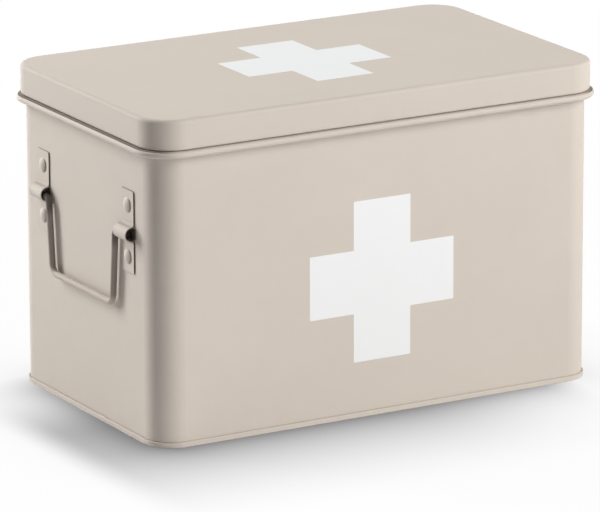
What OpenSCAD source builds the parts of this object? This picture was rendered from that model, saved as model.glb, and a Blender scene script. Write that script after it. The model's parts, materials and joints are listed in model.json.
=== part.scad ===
// Lidded sheet-steel medicine box with a wire-hinged lid, two drop bails on riveted
// brackets and a lift-out tray. Origin: centre of the footprint, on the standing surface.
// X runs along the length, the front faces -Y, Z is up. Millimetres.

/* [Body] */
// Length of the box over its flat end walls
body_w = 308; // [240:1:400]
// Depth of the box over its flat front and back walls
body_d = 183; // [150:1:260]
// Outside radius of the four upright corners
corner_r = 18; // [12:0.5:30]
// Height of the closed box, floor to lid top
body_h = 204; // [175:1:280]
// Thickness of the steel sheet of body, lid and tray
sheet = 0.5; // [0.4:0.05:0.8]
// Gap between two sheets that are lapped and spot-welded
lap_gap = 0.05; // [0.02:0.01:0.1]
// Width of the upright folded seam in the middle of the back
seam_w = 7; // [4:0.5:12]

/* [Rolled bead] */
// How far the bead stands out from the wall
bead_out = 6; // [5.5:0.1:8]
// Height of the bead, underside to top
bead_h = 4.2; // [4:0.1:5]
// Diameter of the wire rolled into the bead, which is also the hinge pin
wire_d = 3; // [2:0.1:3]
// Fillet between the bead's underside and the wall
bead_fillet = 0.9; // [0.4:0.1:1.5]

/* [Neck] */
// Height of the neck above the bead's top
neck_h = 14; // [8:0.5:15]
// How far the neck ring reaches down inside the wall below the bead
neck_lap = 10; // [5:0.5:20]
// Radius of the rolled edge on top of the neck
neck_roll_r = 1; // [0.7:0.1:1.4]

/* [Base] */
// Height of the seam rim round the base
seam_h = 3.3; // [2.5:0.1:5]
// How far the seam rim stands out from the wall
seam_out = 1.15; // [0.8:0.05:1.8]
// Height of the recessed floor above the standing surface
floor_lift = 3; // [1.5:0.1:4]

/* [Lid] */
// How far the lid's skirt stands out from the body wall
lid_out = 3.4; // [3:0.1:4]
// Height of the lid, skirt edge to top
lid_h = 19; // [17:0.5:26]
// Outside radius of the bend between the lid's top and its skirt
lid_bend_r = 2.6; // [1.5:0.1:5]
// Radius of the inward roll along the skirt's lower edge
lid_roll_r = 1.25; // [0.8:0.05:1.4]
// Gap between the closed lid's edge and the bead
lid_gap = 0.3; // [0.2:0.05:0.6]

/* [Hinge] */
// Width of each hinge strap
strap_w = 26; // [16:1:40]
// Distance of each hinge strap from the middle of the back
strap_x = 85; // [50:1:88]
// Height of the strap's leaf above the bead
strap_h = 13; // [11:0.5:15]
// Radius of the leaf's upper corners
strap_corner_r = 4; // [2:0.5:6]
// Thickness of the strap
strap_t = 0.5; // [0.4:0.05:0.55]
// Running clearance of the strap's barrel round the wire
strap_fit = 0.06; // [0.03:0.01:0.09]
// Clearance at each end of the strap in its notch in the bead
notch_gap = 0.6; // [0.4:0.1:1]
// Diameter of the strap rivets' shanks
strap_rivet_d = 3; // [2:0.1:4]
// Diameter of the strap rivets' heads
strap_rivet_head_d = 6; // [5:0.1:8]
// Distance of each strap rivet from the middle of its strap
strap_rivet_x = 7.5; // [5:0.5:8]
// Height of the strap rivets above the lid's skirt edge
strap_rivet_z = 8; // [6:0.5:9]

/* [Bail brackets] */
// Height of each bracket
bracket_h = 51; // [44:1:60]
// Width of each bracket
bracket_w = 15.2; // [12:0.2:20]
// Thickness of the bracket's strip
bracket_t = 0.8; // [0.6:0.1:1.2]
// Distance of each bracket from the middle of the end wall
bracket_y = 55; // [40:1:60]
// Height of the bracket's middle above the standing surface
bracket_z = 129; // [100:0.5:140]
// Inside radius of the knuckle that holds the bail
knuckle_r = 3.8; // [3.6:0.1:4.5]
// Distance of the knuckle's centre from the wall
knuckle_out = 2.1; // [1.8:0.1:2.6]
// Radius of the bend from the knuckle into the flat strip
knuckle_bend_r = 2; // [0.6:0.1:2.4]
// How far the knuckle sits below the bracket's middle
knuckle_drop = 0.8; // [0:0.1:2]
// Radius of the strip's corners
bracket_corner_r = 1.2; // [0.5:0.1:3]
// Diameter of the bracket rivets' shanks
rivet_d = 4; // [3:0.1:5]
// Diameter of the bracket rivets' heads
rivet_head_d = 9.4; // [8:0.1:10]
// Height of the rivets' domed heads
rivet_head_h = 1.6; // [1:0.1:2.5]
// Distance of each rivet from the bracket's middle
rivet_z = 16; // [13:0.5:18]
// Play of a rivet's shank in its hole before it is set
rivet_fit = 0.05; // [0.02:0.01:0.1]

/* [Bails] */
// Diameter of the bail's wire
bail_d = 4; // [3:0.1:4.2]
// Distance of the bail's wire from the wall, to its centre line
bail_out = 3; // [2.8:0.1:3.4]
// How far the bail's wire hangs below the knuckle's centre
bail_sag = 0.9; // [0.3:0.1:1]
// Height of the bail, pivot to grip
bail_h = 47; // [40:0.5:50]
// Half the distance between the legs at the pivots
bail_top_y = 43.4; // [30:0.1:44.4]
// Half the distance between the legs at the grip
bail_grip_y = 39.3; // [25:0.1:44]
// Bend radius of the wire at the pivots, on its centre line
bail_top_r = 4; // [3:0.1:4.5]
// Bend radius of the wire at the grip, on its centre line
bail_grip_r = 6; // [4:0.5:10]
// How far the bail's ends stop short of the brackets' outer edges
bail_end_gap = 4; // [2:0.5:8]

/* [Tray] */
// Height of the tray
tray_h = 43; // [25:1:50]
// Height of the ledges that carry the tray, above the standing surface
ledge_z = 127; // [105:1:135]
// Gap between the tray's rim and the rolled edge of the neck
tray_clear = 1.5; // [1:0.1:4]
// Radius of the tray's upright corners
tray_corner_r = 12; // [8:0.5:18]
// Radius of the bend round the tray's floor
tray_bend_r = 3; // [2:0.1:5]
// Radius of the roll along the tray's rim
tray_roll_r = 1.2; // [0.8:0.1:1.6]
// Height of the dividers
divider_h = 36; // [18:1:40]
// Distance of the long divider behind the tray's middle
divider_y = 14; // [0:1:40]
// Number of cross dividers in front of the long one
cross_count = 3; // [1:1:5]
// Height of the flange that fixes each divider to the tray's floor
divider_flange = 6; // [4:0.5:10]
// Length of each ledge
ledge_l = 84; // [50:1:90]
// Width of each ledge
ledge_w = 14; // [12:0.5:20]
// Height of the ledge's fixing leg
ledge_leg = 11; // [8:0.5:16]
// Thickness of the ledges
ledge_t = 0.8; // [0.6:0.1:1.2]
// Gap between the resting tray and its ledges
seat_gap = 0.3; // [0.2:0.05:0.5]

/* [Hidden] */
$fn = 48;
nip = 0.01; // overlap that keeps a cut from ending on a face
over = 1; // how far a cutting shape reaches past what it cuts
bend_swell = 0.02; // how much fuller a bent rod is in its bends
bend_lap = 0.3; // how far a rod's straight runs reach into its bends
bead_r = bead_h / 2;
lid_z = body_h - lid_h; // skirt edge
bead_z = lid_z - lid_gap - bead_r; // height of the bead's and the hinge's centre line
wire_out = bead_out - bead_r; // bead's centre line, from the wall
wire_r = wire_d / 2;
barrel_in_r = wire_r + strap_fit;
barrel_r = barrel_in_r + strap_t;
neck_top = bead_z + bead_r + neck_h;
neck_bottom = bead_z - bead_r - neck_lap;
wall_bottom = sheet + lap_gap;
neck_face = sheet + lap_gap; // depth of the neck's outer face behind the wall's
neck_mouth = neck_face + 2 * neck_roll_r; // depth of the rolled edge's inside
floor_in = sheet + lap_gap; // depth of the seam's inner leg behind the wall's face
rivet_tail_d = 1.65 * rivet_d;
rivet_tail_h = 0.3 * rivet_d;
strap_tail_d = 1.6 * strap_rivet_d;
strap_tail_h = 0.25 * strap_rivet_d;
pivot_z = bracket_z - knuckle_drop - bail_sag;
grip_z = pivot_z - bail_h;
bail_r = bail_d / 2;
bail_end_y = bracket_y + bracket_w / 2 - bail_end_gap;
tray_w = body_w - 2 * (neck_mouth + tray_clear + 2 * tray_roll_r - sheet);
tray_d = body_d - 2 * (neck_mouth + tray_clear + 2 * tray_roll_r - sheet);
tray_z = ledge_z + seat_gap;
steel = [0.79, 0.75, 0.70];
bright = [0.72, 0.72, 0.71];

// Flat plate outline with round corners
module round_rect(w, d, r) {
    square([w, d - 2 * r], center = true);
    square([w - 2 * r, d], center = true);
    for (sx = [-1, 1])
        for (sy = [-1, 1])
            translate([sx * (w / 2 - r), sy * (d / 2 - r)]) circle(r);
}

// Carries a section round a rounded rectangle; the section's x is the distance outwards
module around(w, d, r) {
    for (i = [0:3]) {
        half = i % 2 == 0 ? w / 2 : d / 2;
        run = i % 2 == 0 ? d - 2 * r : w - 2 * r;
        rotate([0, 0, 90 * i])
            translate([half, 0, 0])
                rotate([90, 0, 0])
                    linear_extrude(height = run, center = true) children();
    }
    for (i = [0:3]) {
        sx = i == 0 || i == 3 ? 1 : -1;
        sy = i < 2 ? 1 : -1;
        translate([sx * (w / 2 - r), sy * (d / 2 - r), 0])
            rotate([0, 0, 90 * i])
                rotate_extrude(angle = 90)
                    translate([r, 0]) children();
    }
}

// Ring section clipped to one quadrant or half by its child
module ring_part(outer, inner) {
    intersection() {
        difference() {
            circle(outer);
            circle(inner);
        }
        children();
    }
}

// Places what is drawn at x = 0, standing out along -X, on the left or right end wall
module on_end(side) {
    if (side < 0)
        translate([-body_w / 2, 0, 0]) children();
    else
        mirror([1, 0, 0]) translate([-body_w / 2, 0, 0]) children();
}

// Cylinders along X through the end walls at the brackets' rivet places
module bracket_holes(side, y) {
    on_end(side)
        for (dz = [-rivet_z, rivet_z])
            translate([0, y, bracket_z + dz])
                rotate([0, 90, 0])
                    cylinder(h = 2 * (bracket_t + sheet + over), d = rivet_d + 2 * rivet_fit,
                             center = true);
}

// Section of the wall: upright sheet, bead folded out round the wire and back to the neck
module wall_section() {
    top = bead_z + bead_r;
    under = bead_z - bead_r;
    translate([-sheet, wall_bottom]) square([sheet, under + sheet - wall_bottom]);
    translate([-sheet, under]) square([wire_out + sheet, sheet]);
    translate([-sheet, top - sheet]) square([wire_out + sheet, sheet]);
    translate([wire_out, bead_z])
        ring_part(bead_r, bead_r - sheet)
            translate([0, -bead_r]) square([bead_r, bead_h]);
    difference() {
        translate([0, under - bead_fillet]) square(bead_fillet);
        translate([bead_fillet, under - bead_fillet]) circle(bead_fillet);
    }
}

module body_wall() {
    color(steel)
        difference() {
            union() {
                around(body_w, body_d, corner_r) wall_section();
                back_seam();
            }
            for (side = [-1, 1]) {
                hinge_notch(side);
                for (y = [-bracket_y, bracket_y]) bracket_holes(side, y);
            }
        }
}

// Folded lock seam where the ends of the wrapped sheet meet
module back_seam() {
    bottom = seam_h + sheet;
    height = bead_z - bead_r - bead_fillet - bottom;
    translate([0, body_d / 2, bottom])
        linear_extrude(height = height)
            difference() {
                translate([-seam_w / 2, -nip]) square([seam_w, 2 * sheet + nip]);
                for (s = [-1, 1])
                    translate([s * seam_w / 2, 2 * sheet])
                        rotate(45) square(sheet, center = true);
            }
}

// Room for one hinge strap's barrel in the back run of the bead
module hinge_notch(side) {
    run = strap_w + 2 * notch_gap;
    translate([side * strap_x - run / 2, body_d / 2 + lap_gap, bead_z - bead_r - over])
        cube([run, bead_out + over, bead_h + 2 * over]);
}

module neck_section() {
    translate([-neck_face - sheet, neck_bottom]) square([sheet, neck_top - neck_roll_r - neck_bottom]);
    translate([-neck_face - neck_roll_r, neck_top - neck_roll_r]) circle(neck_roll_r);
}

module neck_ring() {
    color(steel) around(body_w, body_d, corner_r) neck_section();
}

// Section of the double seam: a trough that holds the wall's foot, with a round outer lip
module seam_section() {
    lip = seam_out - lap_gap;
    in = -floor_in - sheet;
    translate([in, 0]) square([sheet, floor_lift + sheet]);
    translate([in, 0]) square([seam_out - in - lip / 2, sheet]);
    translate([lap_gap, lip / 2]) square([lip, seam_h - lip]);
    for (z = [lip / 2, seam_h - lip / 2]) translate([lap_gap + lip / 2, z]) circle(lip / 2);
}

module base_pan() {
    inset = floor_in + sheet / 2; // the floor's edge lies in the seam's inner leg
    color(steel) {
        around(body_w, body_d, corner_r) seam_section();
        translate([0, 0, floor_lift])
            linear_extrude(height = sheet)
                round_rect(body_w - 2 * inset, body_d - 2 * inset, corner_r - inset);
    }
}

module rim_wire() {
    color(bright)
        around(body_w, body_d, corner_r) translate([wire_out, bead_z]) circle(wire_r);
}

// Section of the lid's edge: bend, skirt and inward roll
module lid_section() {
    translate([-sheet, lid_z + lid_roll_r]) square([sheet, lid_h - lid_roll_r - lid_bend_r]);
    translate([-lid_bend_r, body_h - lid_bend_r])
        ring_part(lid_bend_r, lid_bend_r - sheet) square(lid_bend_r);
    translate([-lid_roll_r, lid_z + lid_roll_r]) circle(lid_roll_r);
}

module lid_shell() {
    w = body_w + 2 * lid_out;
    d = body_d + 2 * lid_out;
    r = corner_r + lid_out;
    color(steel)
        difference() {
            union() {
                around(w, d, r) lid_section();
                translate([0, 0, body_h - sheet])
                    linear_extrude(height = sheet)
                        round_rect(w - 2 * lid_bend_r, d - 2 * lid_bend_r, r - lid_bend_r);
            }
            for (side = [-1, 1]) strap_holes(side);
        }
}

// Cylinders along Y at one strap's rivet places
module strap_holes(side) {
    for (dx = [-strap_rivet_x, strap_rivet_x])
        translate([side * strap_x + dx, body_d / 2 + lid_out, lid_z + strap_rivet_z])
            rotate([90, 0, 0])
                cylinder(h = 2 * (strap_t + sheet + over), d = strap_rivet_d + 2 * rivet_fit,
                         center = true);
}

// Leaf on the outside of the skirt, drawn down into a barrel round the rim wire
module hinge_strap(side) {
    leaf_y = body_d / 2 + lid_out;
    axis_y = body_d / 2 + wire_out;
    leaf_top = bead_z + bead_r + strap_h;
    color(steel)
        difference() {
            union() {
                translate([side * strap_x, leaf_y + strap_t, bead_z])
                    rotate([90, 0, 0])
                        linear_extrude(height = strap_t) {
                            translate([-strap_w / 2, 0])
                                square([strap_w, leaf_top - bead_z - strap_corner_r]);
                            translate([-strap_w / 2 + strap_corner_r, 0])
                                square([strap_w - 2 * strap_corner_r, leaf_top - bead_z]);
                            for (s = [-1, 1])
                                translate([s * (strap_w / 2 - strap_corner_r),
                                           leaf_top - bead_z - strap_corner_r])
                                    circle(strap_corner_r);
                        }
                translate([side * strap_x, axis_y, bead_z])
                    rotate([0, 90, 0]) cylinder(h = strap_w, r = barrel_r, center = true);
            }
            translate([side * strap_x, axis_y, bead_z])
                rotate([0, 90, 0]) cylinder(h = strap_w + 2 * over, r = barrel_in_r, center = true);
            strap_holes(side);
        }
}

// Domed rivet along +Z: head above z = 0, shank and upset tail below it
module rivet(shank_d, head_d, head_h, grip, tail_d, tail_h) {
    ball = (head_d * head_d / 4 + head_h * head_h) / (2 * head_h);
    intersection() {
        translate([0, 0, head_h - ball]) sphere(ball);
        cylinder(h = head_h + over, d = head_d);
    }
    translate([0, 0, -grip - tail_h]) cylinder(h = grip + tail_h + nip, d = shank_d);
    translate([0, 0, -grip - tail_h]) cylinder(h = tail_h, d = tail_d);
}

module hinge_rivets(side) {
    color(steel)
        for (dx = [-strap_rivet_x, strap_rivet_x])
            translate([side * strap_x + dx, body_d / 2 + lid_out + strap_t, lid_z + strap_rivet_z])
                rotate([-90, 0, 0])
                    rivet(strap_rivet_d, strap_rivet_head_d, strap_rivet_d * 0.4,
                          strap_t + sheet, strap_tail_d, strap_tail_h);
}

// Strip bent out into a round knuckle and back; x is the distance out from the wall
module bracket_section() {
    reach = knuckle_r + bracket_t + knuckle_bend_r;
    bend_x = bracket_t + knuckle_bend_r;
    bend = [bend_x, sqrt(reach * reach - pow(bend_x - knuckle_out, 2))];
    spoke = bend - [knuckle_out, 0];
    translate([0, -knuckle_drop]) {
        translate([knuckle_out, 0])
            ring_part(knuckle_r + bracket_t, knuckle_r)
                polygon([[0, 0], spoke, [reach, reach], [reach, -reach], [spoke[0], -spoke[1]]]);
        for (s = [1, -1])
            mirror([0, (1 - s) / 2]) {
                translate([0, bend[1]])
                    square([bracket_t, bracket_h / 2 + s * knuckle_drop - bend[1]]);
                translate(bend)
                    ring_part(knuckle_bend_r + bracket_t, knuckle_bend_r)
                        polygon([[0, 0], [-reach, 0], [-reach, -reach], -spoke]);
            }
    }
}

module bracket(side, y) {
    reach = knuckle_out + knuckle_r + bracket_t + over;
    color(steel)
        difference() {
            on_end(side)
                translate([0, y, bracket_z])
                    intersection() {
                        rotate([90, 0, 0])
                            linear_extrude(height = bracket_w, center = true)
                                mirror([1, 0]) bracket_section();
                        rotate([0, -90, 0])
                            linear_extrude(height = reach)
                                round_rect(bracket_h, bracket_w, bracket_corner_r);
                    }
            bracket_holes(side, y);
        }
}

module bracket_rivets(side, y) {
    color(steel)
        on_end(side)
            for (dz = [-rivet_z, rivet_z])
                translate([-bracket_t, y, bracket_z + dz])
                    rotate([0, -90, 0])
                        rivet(rivet_d, rivet_head_d, rivet_head_h,
                              bracket_t + sheet, rivet_tail_d, rivet_tail_h);
}

// Signed angle by which a path turns at b
function bend_turn(a, b, c) =
    let (u = b - a, v = c - b) atan2(u[0] * v[1] - u[1] * v[0], u[0] * v[0] + u[1] * v[1]);

// Round rod through flat points, bent at each inner point with its own radius. The bends
// are a hair fuller than the runs, which reach a little way into them.
module bent_rod(points, bends, r) {
    last = len(points) - 1;
    turns = [for (i = [1:last - 1]) bend_turn(points[i - 1], points[i], points[i + 1])];
    cuts = [0, for (i = [0:last - 2]) bends[i] * tan(abs(turns[i]) / 2), 0];
    for (i = [0:last - 1]) {
        d = points[i + 1] - points[i];
        from = i == 0 ? 0 : cuts[i] - bend_lap;
        to = norm(d) - (i == last - 1 ? 0 : cuts[i + 1] - bend_lap);
        translate(points[i])
            rotate([0, 0, atan2(d[1], d[0])])
                translate([from, 0, 0])
                    rotate([0, 90, 0]) cylinder(h = to - from, r = r);
    }
    for (i = [0:last - 2]) {
        d = points[i + 1] - points[i];
        translate(points[i + 1])
            rotate([0, 0, atan2(d[1], d[0])])
                mirror([0, turns[i] > 0 ? 0 : 1, 0])
                    translate([-cuts[i + 1], bends[i], 0])
                        rotate([0, 0, -90])
                            rotate_extrude(angle = abs(turns[i]))
                                translate([bends[i], 0]) circle(r + bend_swell);
    }
}

module bail(side) {
    color(steel)
        on_end(side)
            translate([-bail_out, 0, 0])
                rotate([90, 0, 90])
                    bent_rod([[bail_end_y, pivot_z], [bail_top_y, pivot_z], [bail_grip_y, grip_z],
                              [-bail_grip_y, grip_z], [-bail_top_y, pivot_z], [-bail_end_y, pivot_z]],
                             [bail_top_r, bail_grip_r, bail_grip_r, bail_top_r], bail_r);
}

// Section of the tray's side: floor bend, wall and outward roll
module tray_section() {
    translate([-sheet, tray_z + tray_bend_r]) square([sheet, tray_h - tray_bend_r - tray_roll_r]);
    translate([-tray_bend_r, tray_z + tray_bend_r])
        ring_part(tray_bend_r, tray_bend_r - sheet)
            translate([0, -tray_bend_r]) square(tray_bend_r);
    translate([tray_roll_r - sheet, tray_z + tray_h - tray_roll_r]) circle(tray_roll_r);
}

module tray_shell() {
    color(steel) {
        around(tray_w, tray_d, tray_corner_r) tray_section();
        translate([0, 0, tray_z])
            linear_extrude(height = sheet)
                round_rect(tray_w - 2 * tray_bend_r, tray_d - 2 * tray_bend_r,
                           tray_corner_r - tray_bend_r);
    }
}

// L-shaped divider of one length along X, its flange on the tray's floor towards +Y
module divider(length) {
    translate([-length / 2, -sheet / 2, tray_z + sheet]) cube([length, sheet, divider_h]);
    translate([-length / 2, -sheet / 2, tray_z + sheet]) cube([length, divider_flange, sheet]);
}

module tray_long_divider() {
    color(steel)
        translate([0, divider_y, 0]) divider(tray_w - 2 * (tray_bend_r + lap_gap));
}

module tray_cross_dividers() {
    front = -tray_d / 2 + tray_bend_r + lap_gap;
    back = divider_y - sheet / 2 - lap_gap;
    color(steel)
        for (i = [1:cross_count])
            translate([tray_w * (i / (cross_count + 1) - 0.5), (front + back) / 2, 0])
                rotate([0, 0, 90]) divider(back - front);
}

// Angle strip welded to the inside of the end wall, its flat top under the tray
module tray_ledge(side) {
    color(steel)
        on_end(side)
            translate([sheet, -ledge_l / 2, ledge_z]) {
                translate([0, 0, -ledge_t]) cube([ledge_w, ledge_l, ledge_t]);
                translate([0, 0, -ledge_leg]) cube([ledge_t, ledge_l, ledge_leg]);
            }
}

body_wall();
neck_ring();
base_pan();
rim_wire();
lid_shell();
hinge_strap(-1);  // hinge_strap_left
hinge_strap(1);  // hinge_strap_right
hinge_rivets(-1);  // hinge_rivets_left
hinge_rivets(1);  // hinge_rivets_right
bracket(-1, -bracket_y);  // bracket_left_front
bracket(-1, bracket_y);  // bracket_left_rear
bracket(1, -bracket_y);  // bracket_right_front
bracket(1, bracket_y);  // bracket_right_rear
bracket_rivets(-1, -bracket_y);  // rivets_left_front
bracket_rivets(-1, bracket_y);  // rivets_left_rear
bracket_rivets(1, -bracket_y);  // rivets_right_front
bracket_rivets(1, bracket_y);  // rivets_right_rear
bail(-1);  // bail_left
bail(1);  // bail_right
tray_shell();
tray_long_divider();
tray_cross_dividers();
tray_ledge(-1);  // tray_ledge_left
tray_ledge(1);  // tray_ledge_right
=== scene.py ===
import json
import math

import bpy
import numpy as np
from mathutils import Matrix, Vector

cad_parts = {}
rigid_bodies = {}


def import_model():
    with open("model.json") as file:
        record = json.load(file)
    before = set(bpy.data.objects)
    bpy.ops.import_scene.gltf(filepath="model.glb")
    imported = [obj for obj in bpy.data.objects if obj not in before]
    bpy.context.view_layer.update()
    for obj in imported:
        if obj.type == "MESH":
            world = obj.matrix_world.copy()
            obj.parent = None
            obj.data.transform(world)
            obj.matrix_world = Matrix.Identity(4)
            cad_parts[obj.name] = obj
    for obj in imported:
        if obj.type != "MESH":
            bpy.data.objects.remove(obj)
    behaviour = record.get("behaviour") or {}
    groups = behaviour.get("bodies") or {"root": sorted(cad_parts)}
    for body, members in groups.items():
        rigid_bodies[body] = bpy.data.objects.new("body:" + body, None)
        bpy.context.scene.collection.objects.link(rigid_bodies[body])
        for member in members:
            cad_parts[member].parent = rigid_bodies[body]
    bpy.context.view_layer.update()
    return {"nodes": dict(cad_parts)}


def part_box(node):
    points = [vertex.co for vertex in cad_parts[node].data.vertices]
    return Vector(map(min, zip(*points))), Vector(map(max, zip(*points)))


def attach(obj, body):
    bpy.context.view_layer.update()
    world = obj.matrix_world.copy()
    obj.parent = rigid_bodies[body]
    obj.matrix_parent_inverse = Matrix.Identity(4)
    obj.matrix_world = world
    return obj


for leftover in list(bpy.data.objects):
    bpy.data.objects.remove(leftover)

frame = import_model()
print("frame loaded,", len(frame["nodes"]), "sheet, strip and wire parts")

millimetre = 0.001
scene = bpy.context.scene
scene.view_settings.view_transform = "Standard"


# camera: a long lens from the front left, a little above the lid
cameraSetup = {
    "position": (-1.71224, -2.99061, 1.03424),
    "azimuth": -29.731,  # degrees round from the front, negative to the left
    "elevation": 15.504,
    "roll": -0.177,
    "lens": 344.39, "sensor": 36.0,
    "clip": (0.1, 50.0),
}


def sightLine(azimuth, elevation):
    # unit vector from the object out towards a viewer or a lamp
    a, e = math.radians(azimuth), math.radians(elevation)
    return np.array([math.sin(a) * math.cos(e), -math.cos(a) * math.cos(e), math.sin(e)])


def makeCamera(setup):
    # the axes are right, up and back; the roll turns right and up about the sight line
    back = sightLine(setup["azimuth"], setup["elevation"])
    a, roll = math.radians(setup["azimuth"]), math.radians(setup["roll"])
    level = np.array([math.cos(a), math.sin(a), 0.0])
    upright = np.cross(back, level)
    right = math.cos(roll) * level + math.sin(roll) * upright
    up = -math.sin(roll) * level + math.cos(roll) * upright
    data = bpy.data.cameras.new("longLens")
    data.sensor_width = setup["sensor"]
    data.lens = setup["lens"]
    data.clip_start, data.clip_end = setup["clip"]
    camera = bpy.data.objects.new("longLens", data)
    scene.collection.objects.link(camera)
    turn = Matrix([right, up, back]).transposed().to_4x4()
    camera.matrix_world = Matrix.Translation(setup["position"]) @ turn
    scene.camera = camera


makeCamera(cameraSetup)
print("camera set")


# lamps: a soft one from the right front, a tall narrow one from behind the left end, and a weak
# one above
lampAim = (0.0, 0.0, 0.1)
lampSetups = {
    "rightFront": {"azimuth": 36, "elevation": 26, "distance": 2.8, "size": (1.5, 2.3),
                   "power": 80.5, "colour": (1.0, 0.985, 0.965)},
    "leftBack": {"azimuth": -147, "elevation": 26, "distance": 2.6, "size": (0.6, 2.2),
                 "power": 84.0, "colour": (1.0, 0.99, 0.985)},
    "above": {"azimuth": 10, "elevation": 84, "distance": 1.9, "size": (1.6, 1.3),
              "power": 3.8, "colour": (1.0, 0.99, 0.98)},
}


def makeLamp(name, setup):
    data = bpy.data.lights.new(name, "AREA")
    data.shape = "RECTANGLE"
    data.size, data.size_y = setup["size"]
    data.energy = setup["power"]
    data.color = setup["colour"]
    lamp = bpy.data.objects.new(name, data)
    scene.collection.objects.link(lamp)
    out = Vector(sightLine(setup["azimuth"], setup["elevation"]))
    lamp.location = Vector(lampAim) + out * setup["distance"]
    lamp.rotation_mode = "QUATERNION"
    lamp.rotation_quaternion = (-out).to_track_quat("-Z", "Y")


for lampName, lampSetup in lampSetups.items():
    makeLamp(lampName, lampSetup)
print("lamps set")


# small helpers for building node trees
def addNode(tree, kind, **values):
    node = tree.nodes.new(kind)
    for key, value in values.items():
        setattr(node, key, value)
    return node


def feed(tree, node, **sources):
    # a key is a socket's name, or i and its number; a value is a constant or the output that
    # feeds it
    for key, source in sources.items():
        numbered = key[0] == "i" and key[1:].isdigit()
        socket = node.inputs[int(key[1:]) if numbered else key]
        if isinstance(source, bpy.types.NodeSocket):
            tree.links.new(source, socket)
        else:
            socket.default_value = source
    return node


def newGroup(name, inputs, outputs):
    tree = bpy.data.node_groups.new(name, "ShaderNodeTree")
    for label, kind, start in inputs:
        socket = tree.interface.new_socket(name=label, in_out="INPUT", socket_type=kind)
        if start is not None:
            socket.default_value = start
    for label, kind in outputs:
        tree.interface.new_socket(name=label, in_out="OUTPUT", socket_type=kind)
    return tree, addNode(tree, "NodeGroupInput"), addNode(tree, "NodeGroupOutput")


def newMaterial(name):
    # the surface shader, joined to the output, and the place on the piece that patterns read
    material = bpy.data.materials.new(name)
    material.use_nodes = True
    tree = material.node_tree
    tree.nodes.clear()
    shader = addNode(tree, "ShaderNodeBsdfPrincipled")
    tree.links.new(shader.outputs[0], addNode(tree, "ShaderNodeOutputMaterial").inputs["Surface"])
    return material, shader, addNode(tree, "ShaderNodeTexCoord").outputs["Object"]


def mathNode(tree, operation, a, b=None):
    node = addNode(tree, "ShaderNodeMath", operation=operation)
    feed(tree, node, i0=a)
    if b is not None:
        feed(tree, node, i1=b)
    return node.outputs[0]


def product(tree, *factors):
    result = factors[0]
    for factor in factors[1:]:
        result = mathNode(tree, "MULTIPLY", result, factor)
    return result


def largest(tree, values):
    result = values[0]
    for value in values[1:]:
        result = mathNode(tree, "MAXIMUM", result, value)
    return result


def hypotenuse(tree, a, b):
    # square root of a squared plus b squared
    squares = [mathNode(tree, "POWER", side, 2.0) for side in (a, b)]
    return mathNode(tree, "SQRT", mathNode(tree, "ADD", *squares))


def scaledVector(tree, vector, factor):
    node = addNode(tree, "ShaderNodeVectorMath", operation="SCALE")
    return feed(tree, node, i0=vector, Scale=factor).outputs[0]


def splitAxes(tree, vector):
    return feed(tree, addNode(tree, "ShaderNodeSeparateXYZ"), i0=vector).outputs


def smoothRamp(tree, value, start, end, low=0.0, high=1.0):
    # from low at the start to high at the end, eased at both
    node = addNode(tree, "ShaderNodeMapRange", interpolation_type="SMOOTHSTEP")
    limits = {"From Min": start, "From Max": end, "To Min": low, "To Max": high}
    for label, limit in limits.items():
        node.inputs[label].default_value = limit
    return feed(tree, node, Value=value).outputs["Result"]


def noiseNode(tree, vector, scale, detail, roughness):
    node = addNode(tree, "ShaderNodeTexNoise")
    feed(tree, node, Vector=vector, Scale=scale, Detail=detail, Roughness=roughness)
    return node.outputs["Fac"]


# the powder coat's grain: each noise has a scale, a detail and a roughness
coatGrain = {
    "broad": (14.0, 3.0, 0.55), "broadShare": 0.65,
    "close": (90.0, 3.0, 0.6), "closeShare": 0.35,
    "peelDetail": 1.5, "peelRoughness": 0.5,
    "wave": (9.0, 1.0, 0.4),
    "tintGain": 4.0, "roughGain": 1.6,
    "bumpDepth": 0.0001,
}


def powderCoatGroup(grain):
    # colour: the paint times 1 plus the cloudiness times two noises of different size
    # height: fine orange peel over a slower waviness of the sheet
    # roughness: the coat's own value, a little higher where the clouds are light
    tree, given, made = newGroup(
        "powderCoat",
        [("Place", "NodeSocketVector", None), ("Paint", "NodeSocketColor", (0.6, 0.55, 0.5, 1)),
         ("Clouds", "NodeSocketFloat", 0.03), ("Roughness", "NodeSocketFloat", 0.4),
         ("Peel", "NodeSocketFloat", 700.0), ("Wave", "NodeSocketFloat", 0.3)],
        [("Color", "NodeSocketColor"), ("Roughness", "NodeSocketFloat"),
         ("Height", "NodeSocketFloat")])
    place = given.outputs["Place"]
    broad = noiseNode(tree, place, *grain["broad"])
    close = noiseNode(tree, place, *grain["close"])
    both = mathNode(tree, "ADD", product(tree, broad, grain["broadShare"]),
                    product(tree, close, grain["closeShare"]))
    swing = product(tree, mathNode(tree, "SUBTRACT", both, 0.5), given.outputs["Clouds"])
    tint = mathNode(tree, "ADD", 1.0, product(tree, swing, grain["tintGain"]))
    rough = mathNode(tree, "ADD", given.outputs["Roughness"],
                     product(tree, swing, grain["roughGain"]))
    peel = noiseNode(tree, place, given.outputs["Peel"], grain["peelDetail"],
                     grain["peelRoughness"])
    wave = noiseNode(tree, place, *grain["wave"])
    height = mathNode(tree, "ADD", peel, product(tree, wave, given.outputs["Wave"]))
    paint = scaledVector(tree, given.outputs["Paint"], tint)
    feed(tree, made, Color=paint, Roughness=rough, Height=height)
    return tree


coatGroup = powderCoatGroup(coatGrain)


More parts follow.
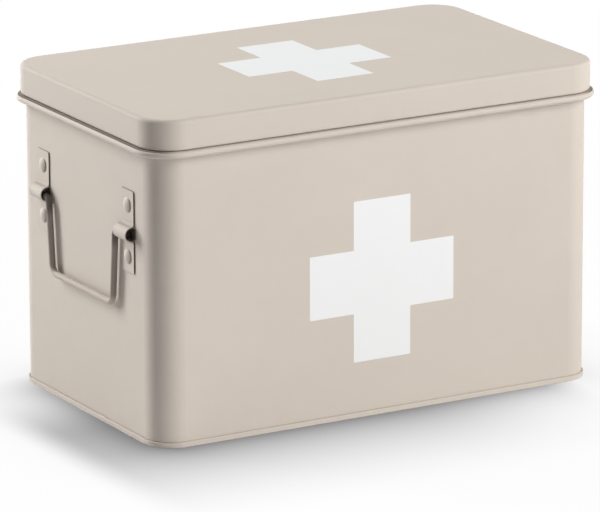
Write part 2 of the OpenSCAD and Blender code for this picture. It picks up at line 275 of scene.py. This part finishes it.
# painted shade: the gaps, hollows, edges and bends where shade falls, darkened in the coat's
# colour, in millimetres from the middle of the foot; a mask is full as far as its reach and fades
# over its soft width
darkPlaces = {
    # the dark brown that the painted shade mixes towards
    "shadeColour": (0.055, 0.034, 0.022, 1),
    "gap": {"height": 184.5, "reach": 0.12, "soft": 0.22,
            "end": (141.0, 153.5), "frontPart": 0.12},
    "seam": {"height": 3.38, "reach": 0.12, "soft": 0.25, "part": 0.16},
    "knuckle": {"out": 156.1, "height": 128.2, "reach": 4.0, "soft": 0.1,
                "innerSoft": 0.4, "mouthFade": 3.2},
    "knuckleBend": {"out": 156.8, "up": 6.56, "reach": 2.1, "soft": 0.5, "sideSoft": 0.1,
                    "rise": (6.6, 5.0), "part": 0.3},
    "strip": {"middle": 55.0, "half": 7.6, "face": 154.7, "low": 103.5, "high": 154.5,
              "reach": 0.06, "soft": 0.35, "endSoft": 0.3, "levelPart": 0.6},
    "rivet": {"middle": 129.0, "apart": 16.0, "ring": 4.45, "reach": 0.2, "soft": 0.7,
              "frontSide": (0.5, -3.6), "wall": (153.9, 154.0), "part": 0.6},
    "lidBend": {"out": (154.6, 156.6), "height": (200.8, 202.4), "part": 0.10},
}


def creviceGroup(where):
    # The mask is the largest of these parts: a band in height round the gap between lid and bead,
    # weaker along the front and the back; one over the base seam; a cylinder along the axis of each
    # knuckle, which fades out on the wall past its outer mouth, and a weak one in the bends beside
    # it; narrow bands along the strips' edges; a ring round the foot of each rivet's head, on its
    # front side; the lid's end bends. The colour is mixed towards a dark brown by the mask, which
    # is painted shade in these places, where shade falls.
    tree, given, made = newGroup(
        "creviceShade",
        [("Place", "NodeSocketVector", None), ("Color", "NodeSocketColor", (0.6, 0.55, 0.5, 1)),
         ("Depth", "NodeSocketFloat", 0.8)],
        [("Color", "NodeSocketColor")])
    axes = splitAxes(tree, scaledVector(tree, given.outputs["Place"], 1.0 / millimetre))
    x = mathNode(tree, "ABSOLUTE", axes[0])
    y = mathNode(tree, "ABSOLUTE", axes[1])
    z = axes[2]

    def minus(a, b):
        return mathNode(tree, "SUBTRACT", a, b)

    def away(value, middle):
        return mathNode(tree, "ABSOLUTE", minus(value, middle))

    def within(distance, reach, soft):
        # 1 up to the reach, then down to 0 over the soft width
        return smoothRamp(tree, distance, reach + soft, reach)

    gap, seam, lidBend = where["gap"], where["seam"], where["lidBend"]
    gapMask = product(tree, within(away(z, gap["height"]), gap["reach"], gap["soft"]),
                      smoothRamp(tree, x, *gap["end"], gap["frontPart"]))
    seamMask = product(tree, within(away(z, seam["height"]), seam["reach"], seam["soft"]),
                       seam["part"])
    lidMask = product(tree, smoothRamp(tree, x, *lidBend["out"]),
                      smoothRamp(tree, z, *lidBend["height"]), lidBend["part"])

    # along is the distance from a bracket's middle, outwards to the box's front or back
    knuckle, bend, strip = where["knuckle"], where["knuckleBend"], where["strip"]
    along = minus(y, strip["middle"])
    across = mathNode(tree, "ABSOLUTE", along)
    up = away(z, knuckle["height"])
    inner = within(product(tree, along, -1.0), strip["half"], knuckle["innerSoft"])
    outer = within(along, strip["half"], knuckle["mouthFade"])
    radius = hypotenuse(tree, away(x, knuckle["out"]), up)
    knuckleMask = product(tree, within(radius, knuckle["reach"], knuckle["soft"]), inner, outer)
    bendRadius = hypotenuse(tree, away(x, bend["out"]), away(up, bend["up"]))
    bendMask = product(tree, within(bendRadius, bend["reach"], bend["soft"]),
                       within(across, strip["half"], bend["sideSoft"]),
                       smoothRamp(tree, up, *bend["rise"]), bend["part"])

    halfHigh = (strip["high"] - strip["low"]) / 2
    tall = away(z, (strip["high"] + strip["low"]) / 2)
    flat = mathNode(tree, "LESS_THAN", x, strip["face"])
    upright = product(tree, within(away(across, strip["half"]), strip["reach"], strip["soft"]),
                      within(tall, halfHigh, strip["endSoft"]))
    level = product(tree, within(away(tall, halfHigh), strip["reach"], strip["soft"]),
                    within(across, strip["half"], strip["endSoft"]), strip["levelPart"])
    stripMask = product(tree, largest(tree, [upright, level]), flat)

    rivet = where["rivet"]
    rise = minus(away(z, rivet["middle"]), rivet["apart"])
    toBack = product(tree, along, mathNode(tree, "SIGN", axes[1]))
    ringDistance = away(hypotenuse(tree, along, rise), rivet["ring"])
    rivetMask = product(tree, within(ringDistance, rivet["reach"], rivet["soft"]),
                        smoothRamp(tree, toBack, *rivet["frontSide"]),
                        smoothRamp(tree, x, *rivet["wall"]), rivet["part"])

    mask = largest(tree, [gapMask, seamMask, knuckleMask, bendMask, stripMask, rivetMask, lidMask])
    # painted shade: the colour is mixed towards the dark brown by the mask
    shaded = addNode(tree, "ShaderNodeMix", data_type="RGBA")
    feed(tree, shaded, i0=product(tree, mask, given.outputs["Depth"]),
         i6=given.outputs["Color"], i7=where["shadeColour"])
    feed(tree, made, Color=shaded.outputs[2])
    return tree


shadeGroup = creviceGroup(darkPlaces)


# paints: peel is the scale of the orange peel, wave its share of slower waviness, and the shade
# depth the strength of the painted shade in the dark places; legs are a start and an end in height
# and the part left of the paint, for the legs' painted shade
coatLooks = {
    "sheetCoat": {"paint": (0.62, 0.56, 0.50), "clouds": 0.025, "roughness": 0.62, "peel": 650.0,
                  "wave": 0.5, "bump": 0.3, "ior": 1.45, "gloss": 0.35, "shadeDepth": 0.85},
    "fittingCoat": {"paint": (0.61, 0.55, 0.49), "clouds": 0.02, "roughness": 0.62, "peel": 800.0,
                    "wave": 0.2, "bump": 0.3, "ior": 1.45, "gloss": 0.3, "shadeDepth": 0.88},
    "wireCoat": {"paint": (0.50, 0.44, 0.385), "clouds": 0.02, "roughness": 0.6, "peel": 900.0,
                 "wave": 0.1, "bump": 0.25, "ior": 1.45, "gloss": 0.3, "shadeDepth": 0.8,
                 "legs": {"aboveGrip": (0.0825, 0.0865, 0.68),
                          "underKnuckle": (0.114, 0.1225, 0.45)}},
    "insideCoat": {"paint": (0.62, 0.56, 0.50), "clouds": 0.02, "roughness": 0.62, "peel": 600.0,
                   "wave": 0.4, "bump": 0.35, "ior": 1.45, "gloss": 0.35, "shadeDepth": 0.5},
}
printLook = {"paint": (0.83, 0.85, 0.86), "clouds": 0.006, "roughness": 0.55, "peel": 700.0,
             "wave": 0.3, "bump": 0.2, "ior": 1.5, "gloss": 0.5}
zincLook = {"spangle": (260.0, 3.0, 0.6), "dark": (0.50, 0.50, 0.49, 1),
            "light": (0.72, 0.72, 0.71, 1), "roughness": 0.2, "roughGain": 0.25}


def layCoat(tree, shader, place, look):
    # sets all of the shader but its colour, which comes back to be shaded or used as it is
    coat = addNode(tree, "ShaderNodeGroup", node_tree=coatGroup)
    feed(tree, coat, Place=place, Paint=(*look["paint"], 1.0), Clouds=look["clouds"],
         Roughness=look["roughness"], Peel=look["peel"], Wave=look["wave"])
    bump = addNode(tree, "ShaderNodeBump")
    feed(tree, bump, Height=coat.outputs["Height"], Strength=look["bump"],
         Distance=coatGrain["bumpDepth"])
    shader.inputs["IOR"].default_value = look["ior"]
    shader.inputs["Specular IOR Level"].default_value = look["gloss"]
    feed(tree, shader, Roughness=coat.outputs["Roughness"], Normal=bump.outputs["Normal"])
    return coat.outputs["Color"]


def legShade(tree, place, colour, legs):
    # painted shade: the bail's legs are darker than its grip, most of all just under the knuckles,
    # whose shade falls on them
    height = splitAxes(tree, place)[2]
    parts = [smoothRamp(tree, height, start, end, 1.0, low) for start, end, low in legs.values()]
    return scaledVector(tree, colour, product(tree, *parts))


def coatMaterial(name, look):
    material, shader, place = newMaterial(name)
    tree = material.node_tree
    colour = layCoat(tree, shader, place, look)
    if "legs" in look:
        colour = legShade(tree, place, colour, look["legs"])
    # painted shade in the gaps, hollows, edges and bends darkens the colour
    shade = addNode(tree, "ShaderNodeGroup", node_tree=shadeGroup)
    feed(tree, shade, Place=place, Color=colour, Depth=look["shadeDepth"])
    tree.links.new(shade.outputs["Color"], shader.inputs["Base Color"])
    return material


def printMaterial(name, look):
    material, shader, place = newMaterial(name)
    colour = layCoat(material.node_tree, shader, place, look)
    material.node_tree.links.new(colour, shader.inputs["Base Color"])
    return material


def wireMaterial(name, look):
    # the zinc's spangle is one noise, from dark to light, and rougher where it is light
    material, shader, place = newMaterial(name)
    tree = material.node_tree
    spangle = noiseNode(tree, place, *look["spangle"])
    shades = addNode(tree, "ShaderNodeValToRGB")
    shades.color_ramp.elements[0].color = look["dark"]
    shades.color_ramp.elements[1].color = look["light"]
    feed(tree, shades, Fac=spangle)
    rough = mathNode(tree, "ADD", look["roughness"], product(tree, spangle, look["roughGain"]))
    feed(tree, shader, Metallic=1.0, Roughness=rough)
    tree.links.new(shades.outputs["Color"], shader.inputs["Base Color"])
    return material


coats = {name: coatMaterial(name, look) for name, look in coatLooks.items()}
whitePrint = printMaterial("whitePrint", printLook)
zincWire = wireMaterial("zincWire", zincLook)


def paintFor(nodeName):
    if nodeName == "rim_wire":
        return zincWire
    if nodeName.startswith("bail"):
        return coats["wireCoat"]
    if nodeName.startswith(("bracket", "rivets", "hinge")):
        return coats["fittingCoat"]
    if nodeName.startswith("tray"):
        return coats["insideCoat"]
    return coats["sheetCoat"]


for nodeName, node in frame["nodes"].items():
    node.data.materials.clear()
    node.data.materials.append(paintFor(nodeName))
print("paint on")


# printed crosses, in millimetres: the centre and the sizes lie in the printed face
crossPrints = {
    "frontCross": {"centre": (1.0, 86.0), "half": 50.8, "arm": 20.0,
                   "face": "front", "skin": -91.5, "body": "box"},
    "lidCross": {"centre": (-1.2, -1.2), "half": 50.4, "arm": 19.8,
                 "face": "top", "body": "lid"},
}
printEdge = {"film": 0.09, "shoulder": 0.12, "shoulderStart": 0.6, "sunk": 0.02,
             "corner": 0.5, "cornerSteps": 5}


def crossOutline(half, arm, corner, steps):
    # twelve corners, each a quarter circle tangent to its two edges; at the four inner ones the
    # arc runs the other way
    a, s = arm, half
    points = np.array([(a, -s), (a, -a), (s, -a), (s, a), (a, a), (a, s), (-a, s), (-a, a),
                       (-s, a), (-s, -a), (-a, -a), (-a, -s)], float)
    toBefore = np.roll(points, 1, axis=0) - points
    toAfter = np.roll(points, -1, axis=0) - points
    toBefore /= np.linalg.norm(toBefore, axis=1, keepdims=True)
    toAfter /= np.linalg.norm(toAfter, axis=1, keepdims=True)
    turn = np.linspace(0.0, math.pi / 2, steps)[None, :, None]
    arcs = (points[:, None] + toBefore[:, None] * corner * (1 - np.sin(turn))
            + toAfter[:, None] * corner * (1 - np.cos(turn)))
    return arcs.reshape(-1, 2)


def insetOutline(outline, distance):
    # moves each point inwards along the mean of its two edges' normals
    ahead = np.roll(outline, -1, axis=0) - outline
    behind = outline - np.roll(outline, 1, axis=0)
    ahead /= np.linalg.norm(ahead, axis=1, keepdims=True)
    behind /= np.linalg.norm(behind, axis=1, keepdims=True)
    tangent = ahead + behind
    tangent /= np.linalg.norm(tangent, axis=1, keepdims=True)
    inward = np.stack([-tangent[:, 1], tangent[:, 0]], 1)
    return outline + inward * distance


def addMesh(name, vertices, faces, material):
    mesh = bpy.data.meshes.new(name)
    mesh.from_pydata(np.asarray(vertices).tolist(), [], faces)
    mesh.materials.append(material)
    mesh.update()
    piece = bpy.data.objects.new(name, mesh)
    scene.collection.objects.link(piece)
    return piece


def makeCross(name, setup, edge):
    # three rings of the outline: sunk in the sheet, near the film's top, and set in at its top;
    # a face closes each end
    outline = crossOutline(setup["half"], setup["arm"], edge["corner"], edge["cornerSteps"])
    count = len(outline)
    rings = [(outline, -edge["sunk"]), (outline, edge["film"] * edge["shoulderStart"]),
             (insetOutline(outline, edge["shoulder"]), edge["film"])]
    flat = np.concatenate([np.column_stack([ring, np.full(count, height)])
                           for ring, height in rings])
    flat[:, :2] += setup["centre"]
    if setup["face"] == "front":
        place = np.column_stack([flat[:, 0], setup["skin"] - flat[:, 2], flat[:, 1]])
    else:
        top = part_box("lid_shell")[1].z / millimetre
        place = np.column_stack([flat[:, 0], flat[:, 1], top + flat[:, 2]])
    point = np.arange(count)
    following = np.roll(point, -1)
    faces = []
    for ring in range(len(rings) - 1):
        quads = np.column_stack([point, following, following + count, point + count])
        faces += (quads + ring * count).tolist()
    faces.append((point + (len(rings) - 1) * count).tolist())
    faces.append(point[::-1].tolist())
    piece = addMesh(name, place * millimetre, faces, whitePrint)
    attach(piece, setup["body"])


for crossName, crossSetup in crossPrints.items():
    makeCross(crossName, crossSetup, printEdge)
print("crosses printed")


# floor: white to the camera, with a painted soft shadow of the box, in metres;
# a pair runs from clear floor to full shadow
floorSetup = {
    "half": 6.0, "matt": 0.80,
    "depth": 0.473,  # how much of the white the wide soft shadow takes
    "left": (-0.2180, -0.1860), "right": (0.1380, 0.0084),
    "front": (-0.2395, -0.0323), "back": (0.0522, -0.0391),
    "contact": 0.60, "contactFall": 0.021, "contactLeast": 0.12,
    "contactRight": (0.152, 0.112), "contactBack": (0.110, 0.045),
    "footHalf": (0.1547, 0.0922), "footCorner": 0.018,
    "shadowTint": (0.985, 0.968, 1.0, 1),
    "litShare": 0.04,  # part of the floor's own lit shadow
    "fade": (0.45, 0.8),  # distance over which all shadow gives way to plain white
}
white = (1, 1, 1, 1)
ambient = 0.01  # strength of the world's light on the object


def whiteRays(tree):
    # 1 for the rays that see plain white: from the camera, off gloss and through glass
    path = addNode(tree, "ShaderNodeLightPath")
    return largest(tree, [path.outputs[f"Is {kind} Ray"]
                          for kind in ("Camera", "Glossy", "Transmission")])


def shadowLight(tree, place, setup):
    # The light left by two painted shadows: 1 less a wide one, the product of four smooth ramps
    # towards the front left of the box, times 1 less a close one, which falls off with the distance
    # from the foot's rounded rectangle and is weak behind the box and past its right end.
    axes = splitAxes(tree, place)

    def outside(value, half):
        past = mathNode(tree, "SUBTRACT", mathNode(tree, "ABSOLUTE", value),
                        half - setup["footCorner"])
        return mathNode(tree, "MAXIMUM", past, 0.0)

    wide = product(tree, setup["depth"], *[
        smoothRamp(tree, axes[axis], *setup[side])
        for axis, side in ((0, "left"), (0, "right"), (1, "front"), (1, "back"))])
    fromCorner = hypotenuse(tree, *[outside(axes[i], setup["footHalf"][i]) for i in (0, 1)])
    fromFoot = mathNode(tree, "MAXIMUM",
                        mathNode(tree, "SUBTRACT", fromCorner, setup["footCorner"]), 0.0)
    fall = mathNode(tree, "EXPONENT", mathNode(tree, "DIVIDE", fromFoot, -setup["contactFall"]))
    strength = product(tree, setup["contact"], smoothRamp(tree, axes[0], *setup["contactRight"]),
                       smoothRamp(tree, axes[1], *setup["contactBack"]))
    close = product(tree, fall, mathNode(tree, "MAXIMUM", strength, setup["contactLeast"]))
    return product(tree, *[mathNode(tree, "SUBTRACT", 1.0, shadow) for shadow in (wide, close)])


def makeFloor(setup):
    # Camera rays see white times the shadows' light, with a share of the floor's real lighting,
    # and plain white far out. Other rays see a matt floor.
    material = bpy.data.materials.new("whiteFloor")
    material.use_nodes = True
    tree = material.node_tree
    tree.nodes.clear()
    matt = addNode(tree, "ShaderNodeBsdfDiffuse")
    feed(tree, matt, Color=(setup["matt"],) * 3 + (1,))
    seen = whiteRays(tree)
    place = addNode(tree, "ShaderNodeTexCoord").outputs["Object"]
    light = shadowLight(tree, place, setup)
    tint = addNode(tree, "ShaderNodeMix", data_type="RGBA")
    feed(tree, tint, i0=light, i6=setup["shadowTint"], i7=white)
    shadowed = addNode(tree, "ShaderNodeEmission")
    feed(tree, shadowed, Color=tint.outputs[2], Strength=light)
    near = addNode(tree, "ShaderNodeMixShader")
    feed(tree, near, Fac=product(tree, seen, 1.0 - setup["litShare"]))
    tree.links.new(matt.outputs[0], near.inputs[1])
    tree.links.new(shadowed.outputs[0], near.inputs[2])
    distance = addNode(tree, "ShaderNodeVectorMath", operation="LENGTH")
    feed(tree, distance, i0=place)
    farGlow = addNode(tree, "ShaderNodeEmission")
    feed(tree, farGlow, Color=white, Strength=1.0)
    blend = addNode(tree, "ShaderNodeMixShader")
    far = smoothRamp(tree, distance.outputs["Value"], *setup["fade"])
    feed(tree, blend, Fac=product(tree, seen, far))
    tree.links.new(near.outputs[0], blend.inputs[1])
    tree.links.new(farGlow.outputs[0], blend.inputs[2])
    output = addNode(tree, "ShaderNodeOutputMaterial")
    tree.links.new(blend.outputs[0], output.inputs["Surface"])
    h = setup["half"]
    corners = [(-h, -h, 0), (h, -h, 0), (h, h, 0), (-h, h, 0)]
    addMesh("floor", corners, [(0, 1, 2, 3)], material)


def makeWorld():
    # white to the rays that see it, and a faint even light on the object
    world = bpy.data.worlds.new("studio")
    scene.world = world
    world.use_nodes = True
    tree = world.node_tree
    tree.nodes.clear()
    strength = mathNode(tree, "ADD", ambient, product(tree, whiteRays(tree), 1.0 - ambient))
    glow = addNode(tree, "ShaderNodeBackground")
    feed(tree, glow, Color=white, Strength=strength)
    tree.links.new(glow.outputs[0], addNode(tree, "ShaderNodeOutputWorld").inputs["Surface"])


makeFloor(floorSetup)
makeWorld()
print("floor and studio set")
